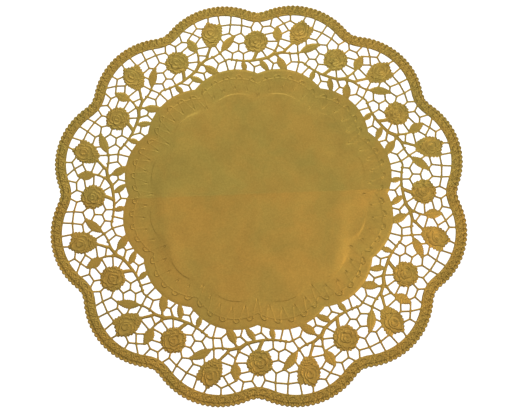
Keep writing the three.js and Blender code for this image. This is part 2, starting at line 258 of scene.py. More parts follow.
def toothed(points, tooth, middle=None):
    """A closed outline with small rounded teeth, uneven if it has a middle."""
    fine = evenly(points, tooth["pitch"] / TOOTH_POINTS)
    along = arc_length(fine)
    count = round(along[-1] / tooth["pitch"])
    tangent = roll(fine, -1, 0) - roll(fine, 1, 0)
    outward = stack([tangent[:, 1], -tangent[:, 0]], -1)
    outward /= norm(outward, axis=1)[:, None]
    if np.sum(fine[:, 0] * roll(fine[:, 1], -1) - fine[:, 1] * roll(fine[:, 0], -1)) < 0:
        outward = -outward
    depth = tooth["depth"] * (abs(sin(pi * count * along[:-1] / along[-1])) - TOOTH_MEAN)
    if middle is not None:
        turn, _ = polar(fine - middle)
        depth *= 1 - UNEVEN["by"] + UNEVEN["by"] * bulges(turn) * cos(2 * turn - UNEVEN["turn"])
    return fine + outward * depth[:, None]


def axis(start, end):
    """A spot, directions along and across to another, and the distance."""
    start, end = place(start), place(end)
    length = norm(end - start)
    along = (end - start) / length
    return start, along, array([-along[1], along[0]]), length


def leaf_place(points, leaf):
    """Share along a leaf, mm off its bent midrib, half width and length."""
    start, along, across, length = axis(leaf["base"], leaf["tip"])
    share, widest = (points - start) @ along / length, leaf["widest"]
    held = clip(share, 0, 1)
    side = (points - start) @ across - leaf["bend"] * 4 * held * (1 - held)
    warped = where(held < widest, 0.5 * held / widest, 0.5 + 0.5 * (held - widest) / (1 - widest))
    return share, side, leaf["wide"] / 2 * sin(pi * warped) ** LEAF_TAPER, length


def leaf_outline(leaf):
    """A leaf's toothed outline."""
    start, along, across, length = axis(leaf["base"], leaf["tip"])
    spine = start + np.outer(np.linspace(0, 1, LEAF_POINTS) * length, along)
    _, side, half, _ = leaf_place(spine, leaf)
    left, right = (spine + np.outer(reach - side, across) for reach in (half, -half))
    return toothed(joined([left[:-1], right[1:][::-1]]), LEAF_TOOTH)


def bulges(turn):
    """The bulges round a rose, from 1 to -1."""
    return cos(ROSE["bulges"] * turn + ROSE["turn"])


def rose_outline():
    """The open rose's toothed outline."""
    middle = place(ROSE["middle"])
    turn = np.linspace(0, 2 * pi, ROSE["points"], endpoint=False)
    reach = ROSE["across"] / 2 * (1 + ROSE["bulge"] * bulges(turn))
    return toothed(middle + spoke(turn, reach), ROSE_TOOTH, middle)


def bud_outline():
    """The bud's toothed outline."""
    t = (arange(BUD_POINTS) / BUD_POINTS)[:, None]
    a, b, c, d = (roll([place(spot) for spot in BUD], 1 - k, 0)[:, None] for k in range(4))
    curve = b + 0.5 * t * (c - a + t * (2 * a - 5 * b + 4 * c - d + t * (3 * (b - c) + d - a)))
    return toothed(curve.reshape(-1, 2), ROSE_TOOTH, place(BUD_AXIS[0]))


NEAR = 2.5  # distances to a form are worked out this close to it
FAR = 20.0  # the distance given to places further off


def in_box(points, low, high):
    """Which points lie between two corners."""
    return np.all((points > low) & (points < high), axis=1)


def line_distance(points, path, wide=(0, 0)):
    """Distance to a line, or to a strip that widens evenly."""
    reach = max(wide) / 2 + NEAR
    near = in_box(points, np.min(path, 0) - reach, np.max(path, 0) + reach)
    close, count = points[near], len(path) - 1
    best = full(len(close), FAR)
    for i in range(count):
        span = path[i + 1] - path[i]
        share = clip(((close - path[i]) @ span) / (span @ span), 0, 1)
        away = norm(close - path[i] - share[:, None] * span, axis=1)
        best = minimum(best, away - (wide[0] + (wide[1] - wide[0]) * (i + share) / count) / 2)
    result = full(len(points), FAR)
    result[near] = best
    return result


def sides_of(outline):
    """The ends of each side of a closed outline."""
    return zip(outline, roll(outline, -1, 0))


def inside_outline(points, outline):
    """Which points a closed outline holds."""
    result = in_box(points, outline.min(0), outline.max(0))
    x, y = points[result].T
    inside = zeros(len(x), bool)
    for a, b in sides_of(outline):
        if b[1] != a[1]:
            inside ^= ((a[1] > y) != (b[1] > y)) & (x < a[0] + (y - a[1]) * (b[0] - a[0]) / (b[1] - a[1]))
    result[np.flatnonzero(result)[~inside]] = False
    return result


def outline_distance(points, outline):
    """Signed distance to a closed outline, negative inside."""
    away = line_distance(points, joined([outline, outline[:1]]))
    return where(inside_outline(points, outline), -away, away)


def bar_path(text):
    """A bar's places. Ends that aren't knots run on into what they meet."""
    names = text.split()
    path = [named(name) for name in names]
    for name, end, beyond in ((names[0], 0, 1), (names[-1], -1, -2)):
        back = path[end] - path[beyond]
        if name[0].islower():
            path[end] = path[end] + BURIED * (back / norm(back))
    return path


BAR_STRIPS = [(bar_path(text), (BAR_WIDTH, BAR_WIDTH), BAR_RISE, BAR_SLOPE) for text in BARS]
STEM_STRIPS = [([place(spot) for spot in stem["path"]], stem["wide"], STEM_RISE, STEM_SLOPE)
               for stem in STEMS]
STRIPS = BAR_STRIPS + STEM_STRIPS
OUTLINES = [leaf_outline(leaf) for leaf in LEAVES] + [rose_outline(), bud_outline()]


def nearness(distance):
    """What a form adds to the soft sum of forms."""
    return np.exp(-distance / FILLET)


def paper_distance(points):
    """Signed distance to the paper, negative on it."""
    total = zeros(len(points))
    for turn in TURNS:
        local = turned(points, turn)
        for path, wide, _, _ in STRIPS:
            total += nearness(line_distance(local, path, wide))
        for outline in OUTLINES:
            total += nearness(outline_distance(local, outline))
    total += nearness(rim_place(points)[1] - RIM_WIDTH)
    total += nearness(-scallop_inset(points, DISC))
    return -FILLET * np.log(total)


def ease(value, low, high):
    """0 up to low, 1 from high on, and a soft rise between."""
    share = clip((value - low) / (high - low), 0, 1)
    return share * share * (3 - 2 * share)


PIT_ROUND = 1.5


def pit(form, across, inset):
    """A round pit, flat at its edge."""
    radius = form["across"] / 2
    off = (across ** 2 + (inset - form["inset"]) ** 2) / radius ** 2
    return form["depth"] * clip(1 - off, 0, 1) ** PIT_ROUND


def ridge(distance, width):
    """A rounded ridge of height 1 at distance 0."""
    return clip(1 - (distance / (width / 2)) ** 2, 0, 1)


def line(form, distance):
    """A raised line."""
    return form["rise"] * ridge(distance, form["wide"])


ALONG_ROW, ALONG_COLUMN = range(2)
SPECK = 4  # a zero line over no more edges than this is a speck


def edge_links(field):
    """Grid edges that the zero line joins, as kind, row and column."""
    inside = field > 0
    corners = inside[:-1, :-1].astype(int) + inside[:-1, 1:] + inside[1:, 1:] + inside[1:, :-1]
    links = {}
    for row, col in np.argwhere((corners > 0) & (corners < 4)):
        corner = [(row, col), (row, col + 1), (row + 1, col + 1), (row + 1, col)]
        state = [inside[c] for c in corner]
        edges = [(ALONG_ROW, row, col), (ALONG_COLUMN, row, col + 1), (ALONG_ROW, row + 1, col),
                 (ALONG_COLUMN, row, col)]
        cut = [edges[i] for i in range(4) if state[i] != state[i - 3]]
        if len(cut) == 4 and (sum(field[c] for c in corner) > 0) == state[0]:
            cut = cut[3:] + cut[:3]
        for a, b in zip(cut[::2], cut[1::2]):
            links.setdefault(a, []).append(b)
            links.setdefault(b, []).append(a)
    return links


def edge_crossing(field, edge):
    """The column and row where the zero line crosses an edge."""
    kind, row, col = edge
    first = field[row, col]
    if kind == ALONG_ROW:
        return col + first / (first - field[row, col + 1]), row
    return col, row + first / (first - field[row + 1, col])


def zero_loops(field):
    """Closed zero lines of a field, without specks."""
    links, loops = edge_links(field), []
    unused = set(links)
    while unused:
        chain = [min(unused)]
        while chain[-1] in unused:
            unused.discard(chain[-1])
            chain += [edge for edge in links[chain[-1]]
                      if edge in unused or edge == chain[0] and edge not in chain[-2:-1]][:1]
        if chain[-1] == chain[0] and len(chain) - 1 > SPECK:
            loops.append(array([edge_crossing(field, edge) for edge in chain[:-1]]))
    return loops


def kept_corners(path):
    """As few of a line's points as keep its shape, less the last."""
    span, rel = path[-1] - path[0], path[1:-1] - path[0]
    off = abs(rel[:, 0] * span[1] - rel[:, 1] * span[0]) / max(norm(span), TINY)
    if not len(off) or off.max() <= TOLERANCE:
        return path[:1]
    at = 1 + np.argmax(off)
    return joined([kept_corners(path[:at + 1]), kept_corners(path[at:])])


def split_long(points):
    """A closed line with its long sides cut evenly."""
    out = []
    for a, b in sides_of(points):
        count = max(1, math.ceil(norm(b - a) / LONGEST_SIDE))
        out += [a + (b - a) * k / count for k in range(count)]
    return array(out)


# The grid of angles and radii on which the gaps are found
GRID_ANGLE = 0.1
GRID_RADIUS = 0.22
GRID_SPILL = 8.0  # degrees past the repeat's seams
GRID_RADII = (108.0, 172.0)
TOLERANCE = 0.035
LONGEST_SIDE = 1.7


def gap_loops():
    """Outlines of the gaps whose middle is in the first repeat."""
    angles = arange(-GRID_SPILL, STEP + GRID_SPILL, GRID_ANGLE)
    radii = arange(*GRID_RADII, GRID_RADIUS)
    angle, radius = np.meshgrid(angles, radii)
    field = paper_distance(from_chart(angle.ravel(), radius.ravel())).reshape(angle.shape)
    found = []
    for loop in zero_loops(field):
        plan = from_chart(angles[0] + loop[:, 0] * GRID_ANGLE, radii[0] + loop[:, 1] * GRID_RADIUS)
        if 0 <= to_chart(plan.mean(0))[0] < STEP:
            far = np.argmax(norm(plan - plan[0], axis=1))
            halves = plan[:far + 1], joined([plan[far:], plan[:1]])
            found.append(split_long(joined([kept_corners(half) for half in halves])))
    return found


PICOT_ROUND = 0.8


def picot_inset(along):
    """How far in from the rim's course the toothed edge is."""
    return PICOT_DEPTH * (1 - abs(sin(pi * along / PICOT_PITCH)) ** PICOT_ROUND)


def outer_edge():
    """The first repeat's toothed edge, from valley to valley."""
    count = 2 * round(HALF_LENGTH / PICOT_PITCH * TOOTH_POINTS)
    along = np.linspace(HALF_LENGTH, -HALF_LENGTH, count + 1)
    return on_rim(along, picot_inset(along))


# A leaf's pressed midrib and side veins, and how far off the midrib these begin
VEIN = {"pitch": 2.2, "slant": 0.85, "depth": 0.10, "off": (0.3, 0.9), "midrib": 0.17, "midrib_wide": 0.42}
LEAF_ROUND = 0.6


def leaf_relief(points, leaf):
    """A rounded leaf with a pressed midrib and slanting veins."""
    share, side, half, length = leaf_place(points, leaf)
    body = LEAF_RISE * ridge(side, 2 * maximum(half, 1e-3)) ** LEAF_ROUND
    rib = VEIN["midrib"] * np.exp(-(side / VEIN["midrib_wide"]) ** 2)
    phase = (share * length - VEIN["slant"] * abs(side)) / VEIN["pitch"]
    vein = VEIN["depth"] * (0.5 + 0.5 * cos(2 * pi * phase))
    height = body - rib - vein * ease(abs(side), *VEIN["off"])
    return where((share > 0) & (share < 1) & (abs(side) < half), clip(height, 0, 1), 0)


# Petals: a raised lip at the edge of each, a fall inward from it, and lobes round each ring
PETAL = {"lip": 0.37, "lip_wide": 0.7, "fall": 0.30, "falls": (0.5, 2.2), "lobe": 0.20, "round": 0.7}
# Rings of petals from the outermost in: reach, petals, turn in radians, and the middle's x and y
ROSE_RINGS = [(10.2, 8, 0.2, 0.0, 0.0), (7.7, 5, 0.9, 0.7, -0.5), (5.3, 4, 0.1, -0.4, 0.7),
              (2.9, 3, 0.8, 0.5, 0.3)]
BUD_RINGS = [(8.3, 5, 0.6, 0.0, 0.0), (5.9, 3, 0.2, 0.9, 0.6), (3.2, 3, 1.0, 0.4, -0.4)]
# How far each relief reaches in shares of its width or length, and its height under the petals
ROSE_RELIEF = {"reach": 1.1, "floor": 0.14, "fluted": (0.62, 0.8)}
BUD_RELIEF = {"reach": 1.7, "from": -0.05, "to": 1.1, "floor": 0.16, "fluted": (0.5, 0.75)}
BUD_MIDDLE = 0.60
BUD_STRETCH = 1.22
CALYX = {"at": (0.06, 0.14, 0.22), "rise": 0.16, "wide": 1.3, "bow": 1.6, "half": 6.0}
FLUTES = {"count": 30, "depth": 0.06}


def petals(x, y, rings):
    """Overlapping rings of petals with raised lips."""
    height = zeros(len(x))
    for reach, count, start, middle_x, middle_y in rings:
        turn, away = polar(stack([x - middle_x, y - middle_y], -1))
        lobe = abs(cos(count * (turn - start) / 2)) ** PETAL["round"]
        inward = reach * (1 - PETAL["lobe"] + PETAL["lobe"] * lobe) - away
        lip = PETAL["lip"] * ease(inward, 0, PETAL["lip_wide"])
        height += lip - PETAL["fall"] * ease(inward, *PETAL["falls"])
    return height


def flower(x, y, wide, rings, shape):
    """A flower's height, and how far out places are in shares of its width."""
    share = 2 * hypot(x, y) / wide
    flutes = FLUTES["depth"] * cos(FLUTES["count"] * arctan2(y, x))
    return petals(x, y, rings) + flutes * ease(share, *shape["fluted"]) + shape["floor"], share


def rose_relief(points):
    """The open rose, seen from above."""
    x, y = turned(points - place(ROSE["middle"]), radians(ROSE["middle"][0])).T
    height, share = flower(x, y, ROSE["across"], ROSE_RINGS, ROSE_RELIEF)
    return where(share < ROSE_RELIEF["reach"], clip(height, 0, 1), 0)


def bud_relief(points):
    """The bud, with the arcs of its calyx."""
    start, along, across, length = axis(*BUD_AXIS)
    at, side = (points - start) @ along / length, (points - start) @ across
    x = (at - BUD_MIDDLE) * length / BUD_STRETCH
    height, out = flower(x, side, BUD_WIDE, BUD_RINGS, BUD_RELIEF)
    for share in CALYX["at"]:
        arc = at * length - share * length - CALYX["bow"] * (1 - (side / CALYX["half"]) ** 2)
        height += line(CALYX, arc) * (abs(side) < CALYX["half"])
    inside = (out < BUD_RELIEF["reach"]) & (at > BUD_RELIEF["from"]) & (at < BUD_RELIEF["to"])
    return where(inside, clip(height, 0, 1), 0)


# The rim's pattern in mm: along from a motif's middle, and inset from the outer course
MOTIF = 3 * PICOT_PITCH
TOOTH_PIT = {"inset": 2.5, "across": 2.2, "depth": 0.52}
TOOTH_LIP = {"reach": 1.6, "wide": 1.0, "rise": 0.22}
CURL = {"along": 2.05, "inset": 5.1, "across": 3.4, "round": 0.7, "rise": 0.56, "eye": 0.50, "eye_wide": 1.1}
STROKE = {"low": 3.9, "high": 7.2, "wide": 1.0, "rise": 0.34}
SMILE = {"middle": 5.3, "reach": 3.1, "from": 0.8, "wide": 1.4, "rise": 0.44}
LATTICE = {"low": 3.8, "high": 8.6, "over": 0.5, "slant": 0.72, "wide": 1.4, "rise": 0.38}
KNOT_PIT = {"inset": 7.9, "across": 2.7, "depth": 0.52}
CORD = {"inset": 9.3, "wide": 1.3, "rise": 0.26, "beads": 0.4}
RIM_LIMITS = (-0.1, 1.0)


def rim_relief(along, inset):
    """The rim: pits, paired curls over a bow, crossed lines and a cord."""
    x = np.mod(along, MOTIF) - MOTIF / 2
    from_end = MOTIF / 2 - abs(x)
    tooth = np.mod(along, PICOT_PITCH) - PICOT_PITCH / 2
    height = RIM_RISE - pit(TOOTH_PIT, tooth, inset)
    height += line(TOOTH_LIP, hypot(tooth, inset - TOOTH_PIT["inset"]) - TOOTH_LIP["reach"])
    curl = hypot(abs(x) - CURL["along"], inset - CURL["inset"])
    height += CURL["rise"] * ridge(curl, CURL["across"]) ** CURL["round"]
    height -= CURL["eye"] * ridge(curl, CURL["eye_wide"])
    height += line(STROKE, x) * ((inset > STROKE["low"]) & (inset < STROKE["high"]))
    bow = hypot(x, inset - SMILE["middle"]) - SMILE["reach"]
    height += line(SMILE, bow) * (inset - SMILE["middle"] > SMILE["from"])
    crossed = [line(LATTICE, from_end - LATTICE["slant"] * away)
               for away in (inset - LATTICE["low"], LATTICE["high"] - inset)]
    height += maximum(*crossed) * ((inset > LATTICE["low"] - LATTICE["over"]) & (inset < LATTICE["high"]))
    height -= pit(KNOT_PIT, from_end, inset)
    beads = 1 - CORD["beads"] + CORD["beads"] * cos(4 * pi * along / PICOT_PITCH)
    height += CORD["rise"] * beads * ridge(inset - CORD["inset"], CORD["wide"])
    return clip(height, *RIM_LIMITS)


# The disc's border, in mm from a thin line of pointed scallops: drops, arches outside the line, and a
# step up to the plain middle, crisp at each peak and softer beside it
OUTER_LINE = {"peak": 108.0, "arc": 36.4, "wide": 1.2, "rise": 0.20}
INNER_LINE = {"peak": 93.5, "arc": 27.9, "soft": 0.9, "ends": 7.0, "softer": (0.3, 0.9)}
DROPS = {"each": 5, "first": 0.3, "start": 0.8, "long": 9.0, "wide": 6.2, "round": 0.6, "line": 1.35}
DROP_SIDE = {"rise": 0.10, "more": 0.12}
DROP_TIP = {"inset": 8.8, "long": 3.2, "wide": 2.2, "depth": 0.38}
ARCHES = {"first": 3.3, "foot": -0.7, "over": 0.3, "reach": 2.4, "wide": 1.2, "rise": 0.34}
DISC_EDGE = {"wide": 2.2, "fall": 0.75}  # how the border falls to the lace
DISC_LIMITS = (0.01, 0.8)


def off_nearest(angle, radius, first):
    """How far round, in mm, places are from the nearest drop or arch."""
    pitch = STEP / DROPS["each"]
    return radians(np.mod(angle - first + pitch / 2, pitch) - pitch / 2) * radius


def disc_relief(points):
    """The disc: a plain middle, and drops and arches round it."""
    angle, radius = to_chart(points)
    outer = scallop_inset(points, OUTER_LINE)
    from_peak = abs(2 * np.mod(angle, STEP) / STEP - 1)
    soft = (INNER_LINE["soft"] + INNER_LINE["ends"] * ease(from_peak, *INNER_LINE["softer"])) / 2
    height = BORDER_RISE + MIDDLE_RISE * ease(scallop_inset(points, INNER_LINE), -soft, soft)
    height += line(OUTER_LINE, outer)
    across = off_nearest(angle, radius, DROPS["first"])
    share = (outer - DROPS["start"]) / DROPS["long"]
    half = DROPS["wide"] / 2 * clip(1 - share, 0, 1) ** DROPS["round"]
    side = ridge(abs(across) - half, DROPS["line"]) * ((share > 0) & (share < 1))
    height += (DROP_SIDE["rise"] + DROP_SIDE["more"] * share ** 2) * side
    tip_across = 2 * across / DROP_TIP["wide"]
    tip_along = 2 * (outer - DROP_TIP["inset"]) / DROP_TIP["long"]
    height -= DROP_TIP["depth"] * clip(1 - tip_across ** 2 - tip_along ** 2, 0, 1)
    from_arch = off_nearest(angle, radius, ARCHES["first"])
    arch = hypot(from_arch, outer - ARCHES["foot"]) - ARCHES["reach"]
    height += line(ARCHES, arch) * (outer < ARCHES["foot"] + ARCHES["over"])
    off_edge = ease(scallop_inset(points, DISC), 0, DISC_EDGE["wide"])
    return clip(height * (1 - DISC_EDGE["fall"] * (1 - off_edge)), *DISC_LIMITS)


# Where the rim's and the disc's reliefs take over from the lace's
RIM_JOIN = {"over": 0.3, "soft": 0.5}
DISC_JOIN = (-0.2, 0.4)


def relief(points, edge):
    """Height of the embossing, from the distance to a cut edge."""
    lace = zeros(len(points))
    for turn in TURNS:
        local = turned(points, turn)
        for path, wide, rise, slope in STRIPS:
            lace = maximum(lace, rise * ease(-line_distance(local, path, wide), 0, slope))
        for leaf in LEAVES:
            lace = maximum(lace, leaf_relief(local, leaf))
        lace = maximum(lace, maximum(rose_relief(local), bud_relief(local)))
    along, inset = rim_place(points)
    in_rim = ease(RIM_WIDTH + RIM_JOIN["over"] - inset, 0, RIM_JOIN["soft"])
    in_disc = ease(scallop_inset(points, DISC), *DISC_JOIN)
    height = maximum(rim_relief(along, inset) * in_rim, disc_relief(points) * in_disc)
    height = maximum(height, lace * (1 - in_rim) * (1 - in_disc))
    return height * ease(edge, 0, EDGE_SLOPE)


def edge_distance(points):
    """How far places are from a cut edge, and in from the rim's course."""
    along, inset = rim_place(points)
    return minimum(-paper_distance(points), inset - picot_inset(along)), inset


def seam_distance(angle, radius):
    """How far places are from the nearer seam, in mm."""
    return radians(minimum(abs(angle), abs(angle - STEP))) * radius


# A grid's steps from coarse to fine, the relief's least bend there in mm, and how far off an edge
GRID_RULES = {"front": [(4, -1, 0.9), (2, 0.012, 0.45), (1, 0.013, 0.3)],
              "back": [(8, -1, 1.0), (4, 0.05, 0.8)]}
GRID_SPACING = 0.36
ROW_SHARE = 1.16  # rows for each column in a square
PLAIN_RADIUS = 82.0  # the disc is plain inside this
SEAM_CLEAR = 0.2  # how much nearer to a seam than to a cut edge points may come
# How far the relief is worked out past the seams in degrees, and past the pattern in mm
SPILL = {"seam": 1.5, "plain": 4, "rim": 1}


def grid_points(to_plan, spacing, wide, tall, insets, rules):
    """Points of a triangular grid, dense where the relief bends."""
    columns, rows = int(wide / spacing), int(tall / spacing * ROW_SHARE)
    i, j = np.meshgrid(arange(columns), arange(rows), indexing="ij")
    points = to_plan(spacing * (i - j / 2), spacing * j * math.sqrt(3) / 2).reshape(-1, 2)
    angle, radius = to_chart(points)
    usable = (angle > 0) & (angle < STEP) & (radius < RIM_PEAK)
    near = (angle > -SPILL["seam"]) & (angle < STEP + SPILL["seam"])
    near &= (radius > PLAIN_RADIUS - SPILL["plain"]) & (radius < RIM_PEAK + SPILL["rim"])
    edge, inset = edge_distance(points[near])
    height = full(len(points), BORDER_RISE + MIDDLE_RISE)
    height[near] = relief(points[near], maximum(edge, 0))
    usable[near] &= (inset > insets[0]) & (inset <= insets[1])
    clear = seam_distance(angle, radius) + SEAM_CLEAR
    clear[near] = minimum(clear[near], edge)
    height, usable, clear = (field.reshape(i.shape) for field in (height, usable, clear))
    kept = zeros(i.shape, bool)
    for step, bend, off_edge in rules:
        odd_i, odd_j = (i // step) % 2 == 1, (j // step) % 2 == 1
        moves = {(step, 0): odd_i & ~odd_j, (0, step): odd_j & ~odd_i, (step, step): odd_i & odd_j}
        error = zeros(i.shape)
        for (right, up), case in moves.items():
            mean = (roll(height, (right, up), (0, 1)) + roll(height, (-right, -up), (0, 1))) / 2
            error = where(case, abs(height - mean), error)
        on_step = (i % step == 0) & (j % step == 0)
        kept |= usable & on_step & (error > bend) & (clear > off_edge)
    return points[kept.ravel()]


RIDGE = {"off_seam": 0.4, "clear": (0.4, 0.75)}


def bar_middles():
    """Points along the middles of the bars."""
    found = []
    for path, *_ in BAR_STRIPS:
        for a, b in zip(path, path[1:]):
            count = max(1, round(norm(b - a) / LONGEST_SIDE))
            found += [a + (b - a) * k / count for k in range(count + 1)]
    found = joined([turned(found, turn) for turn in TURNS])
    found = unique(np.round(found, 3), axis=0)
    angle, radius = to_chart(found)
    edge, inset = edge_distance(found)
    keep = (angle > 0) & (angle < STEP) & (seam_distance(angle, radius) > RIDGE["off_seam"])
    keep &= (edge > RIDGE["clear"][0]) & (edge < RIDGE["clear"][1])
    return found[keep & (inset > RIM_WIDTH)]


# How far the field's grid reaches past the rim and the first seam, and how the rim's own grid lies
FIELD_GRID = {"past_rim": 2, "past_seam": 5}
RIM_GRID = {"before": 12, "teeth": 27, "inset": 0.35, "apart": 0.2}


def inner_points(rules):
    """Points inside the paper of one repeat."""
    side = RIM_PEAK + FIELD_GRID["past_rim"]
    low = -side * math.sin(2 * HALF)
    tall = FIELD_GRID["past_seam"] - low

    def field(x, y):
        return stack([x, y + low], -1)

    def rim(along, inset):
        return on_rim(along - RIM_GRID["before"] * PICOT_PITCH, inset + RIM_GRID["inset"])

    tooth = PICOT_PITCH / round(PICOT_PITCH / GRID_SPACING)
    outside, within = (RIM_WIDTH, math.inf), (-math.inf, RIM_WIDTH - RIM_GRID["apart"])
    return joined([
        grid_points(field, GRID_SPACING, side + tall / 2, tall, outside, rules),
        grid_points(rim, tooth, RIM_GRID["teeth"] * PICOT_PITCH, RIM_WIDTH, within, rules),
    ])


# Points along a seam: steps in the plain disc and outside it, and what they stay clear of
SEAM = {"plain_step": 4, "step": 2, "off_plain": 1.5, "off_valley": 0.4, "clear": 0.35}


def wedge_outlines(loops):
    """One repeat's border, and the gaps in it or across its seams."""
    rim = outer_edge()
    valley = norm(rim[0])
    inner = arange(0, PLAIN_RADIUS, SEAM["plain_step"] * GRID_SPACING)
    start, end = PLAIN_RADIUS + SEAM["off_plain"], valley - SEAM["off_valley"]
    outer = arange(start, end, SEAM["step"] * GRID_SPACING)
    edge, _ = edge_distance(from_chart(0 * outer, outer))
    radii = joined([inner, outer[edge > SEAM["clear"]], [valley]])
    first, second = (from_chart(full(len(radii), angle), radii) for angle in (0.0, STEP))
    border = joined([first[:-1], rim[:-1], second[1:][::-1]])
    gaps = [turned(loop, turn) for turn in TURNS for loop in loops]
    angles = [to_chart(gap)[0] for gap in gaps]
    return border, [gap for gap, angle in zip(gaps, angles) if angle.max() > 0 and angle.min() < STEP]


MERGED = 1e-4  # points closer than this become one


def wedge(border, gaps, inner):
    """Triangles of one repeat's paper."""
    sides, start = [], 0
    for outline in [border, *gaps]:
        count = len(outline)
        sides += [(start + i, start + (i + 1) % count) for i in range(count)]
        start += count
    flat = [Vector(point) for point in joined([border, *gaps, inner])]
    verts, _, faces, *_ = delaunay_2d_cdt(flat, sides, [], 0, MERGED)
    verts, faces = array([tuple(vert) for vert in verts]), array(faces)
    middles = verts[faces].mean(1)
    keep = inside_outline(middles, border)
    for gap in gaps:
        keep &= ~inside_outline(middles, gap)
    used, faces = unique(faces[keep], return_inverse=True)
    faces, verts = faces.reshape(-1, 3), verts[used]
    a, b, c = (verts[faces[:, k]] for k in range(3))
    area = (b[:, 0] - a[:, 0]) * (c[:, 1] - a[:, 1]) - (b[:, 1] - a[:, 1]) * (c[:, 0] - a[:, 0])
    faces[area < 0] = faces[area < 0][:, ::-1]
    return verts, faces


SEAM_OFF = 2e-3
SEAM_MATCH = 0.01


def on_seams(verts):
    """Which points lie on the first seam, on the second, and at the centre."""
    angle, radius = to_chart(verts)
    centre = radius < SEAM_OFF
    first = abs(radians(angle) * radius) < SEAM_OFF
    second = abs(radians(angle - STEP) * radius) < SEAM_OFF
    return first & ~centre, second & ~centre, centre


def open_sides(faces):
    """Directed sides that only one triangle has."""
    sides = joined([faces[:, [0, 1]], faces[:, [1, 2]], faces[:, [2, 0]]])
    code = np.sort(sides, axis=1) @ array([faces.max() + 1, 1])
    _, at, count = unique(code, return_index=True, return_counts=True)
    return sides[at[count == 1]]


def walls_between(verts, upper_sides, lower_points):
    """Triangles between the front's open sides and the back's points."""
    edge_points = unique(upper_sides)
    away = norm(verts[edge_points][:, None] - verts[lower_points][None], axis=2)
    if away.min(axis=1).max() > SEAM_OFF:
        raise RuntimeError("the front and the back have different edges")
    under = full(len(verts), -1)
    under[edge_points] = lower_points[np.argmin(away, axis=1)]
    a, b = upper_sides[:, 0], upper_sides[:, 1]
    return joined([stack([b, a, under[a]], -1), stack([b, under[a], under[b]], -1)])


FRONT_FACE, BACK_FACE, WALL = range(3)


def whole_round(verts, faces, heights, is_front):
    """Twelve copies of a wedge, joined along their seams."""
    on_first, on_second, centre = on_seams(verts)
    order = norm(verts, axis=1) + 2 * RIM_PEAK * is_front
    first, second = (np.flatnonzero(seam)[np.argsort(order[seam])] for seam in (on_first, on_second))
    if len(first) != len(second) or abs(order[first] - order[second]).max() > SEAM_MATCH:
        raise RuntimeError("the seams differ")
    own = ~(on_second | centre)
    count = own.sum()
    index = full(len(verts), -1)
    index[own] = arange(count)
    index[centre] = arange(centre.sum())
    plan = [turned(verts[own], k * 2 * HALF) for k in range(REPEATS)] + [verts[centre]]
    height = joined([np.tile(heights[own], REPEATS), heights[centre]])
    all_faces = []
    for k in range(REPEATS):
        numbers = index + where(centre, REPEATS, k) * count
        numbers[second] = index[first] + (k - 1) % REPEATS * count
        all_faces.append(numbers[faces])
    return joined(plan), height, joined(all_faces)


def sheet_mesh():
    """The whole sheet's plan places, heights, triangles and kinds."""
    border, gaps = wedge_outlines(gap_loops())
    upper, front = wedge(border, gaps, joined([inner_points(GRID_RULES["front"]), bar_middles()]))
    lower, back = wedge(border, gaps, inner_points(GRID_RULES["back"]))
    sides = open_sides(front)
    first, second, centre = on_seams(upper)
    seam = np.all((first | centre)[sides], axis=1) | np.all((second | centre)[sides], axis=1)
    verts = joined([upper, lower])
    walls = walls_between(verts, sides[~seam], unique(open_sides(back)) + len(upper))
    faces = joined([front, back[:, ::-1] + len(upper), walls])
    kind = np.repeat([FRONT_FACE, BACK_FACE, WALL], [len(front), len(back), len(walls)])
    is_front = arange(len(verts)) < len(upper)
    embossed = relief(verts, maximum(edge_distance(verts)[0], 0)) * where(is_front, 1, BACK_SHARE)
    heights = where(is_front, BASE, BACK) + embossed
    return *whole_round(verts, faces, heights, is_front), np.tile(kind, REPEATS)


# How the sheet lies, in mm: a fold across it, nearly flat again, and a few soft wrinkles
FOLD = {"through": (-13.0, -0.2), "slope": 0.034, "rise": 0.7, "reach": 22.0, "sharp": 1.6}
# Wrinkles: rise, width, at, lean and bow of x = at + lean * y + bow * y * y, and the ends in y
WRINKLES = [
    (1.0, 7.5, -79.5, 0.059, 0.0042, -66, 72),
    (0.65, 8.0, 71.5, 0.03, -0.0018, -66, -6),
    (0.50, 8.0, 45.6, 0.636, -0.0105, 6, 62),
]
WRINKLE_END = 12
# A slight swell from crossed waves, each with its shares of x and y and its phase
SWELL = {"rise": 0.35, "length": 150.0, "rim": 0.5, "rim_power": 6}
SWELL_WAVES = [(1.0, 0.4, 0.7), (-0.24, 0.8, 1.9)]


def lift(plan):
    """How far the sheet stands off the table, in mm."""
    x, y = plan[:, 0], plan[:, 1]
    off_fold = y - FOLD["through"][1] - FOLD["slope"] * (x - FOLD["through"][0])
    off_fold = abs(off_fold / math.hypot(1, FOLD["slope"]))
    height = FOLD["rise"] * clip(1 - off_fold / FOLD["reach"], 0, 1) ** FOLD["sharp"]
    for rise, wide, at, lean, bow, low, high in WRINKLES:
        away = (x - at - lean * y - bow * y * y) / hypot(1, lean + 2 * bow * y)
        ends = ease(y, low - WRINKLE_END, low + WRINKLE_END)
        ends *= 1 - ease(y, high - WRINKLE_END, high + WRINKLE_END)
        height += rise * ends * np.exp(-(away / wide) ** 2)
    swell = np.ones(len(plan))
    for of_x, of_y, phase in SWELL_WAVES:
        swell *= sin(2 * pi / SWELL["length"] * (of_x * x + of_y * y) + phase)
    radius = hypot(x, y) / RIM_PEAK
    height += SWELL["rise"] * (0.5 + 0.5 * swell)
    return height + SWELL["rim"] * radius ** SWELL["rim_power"] * (0.5 - 0.5 * swell)


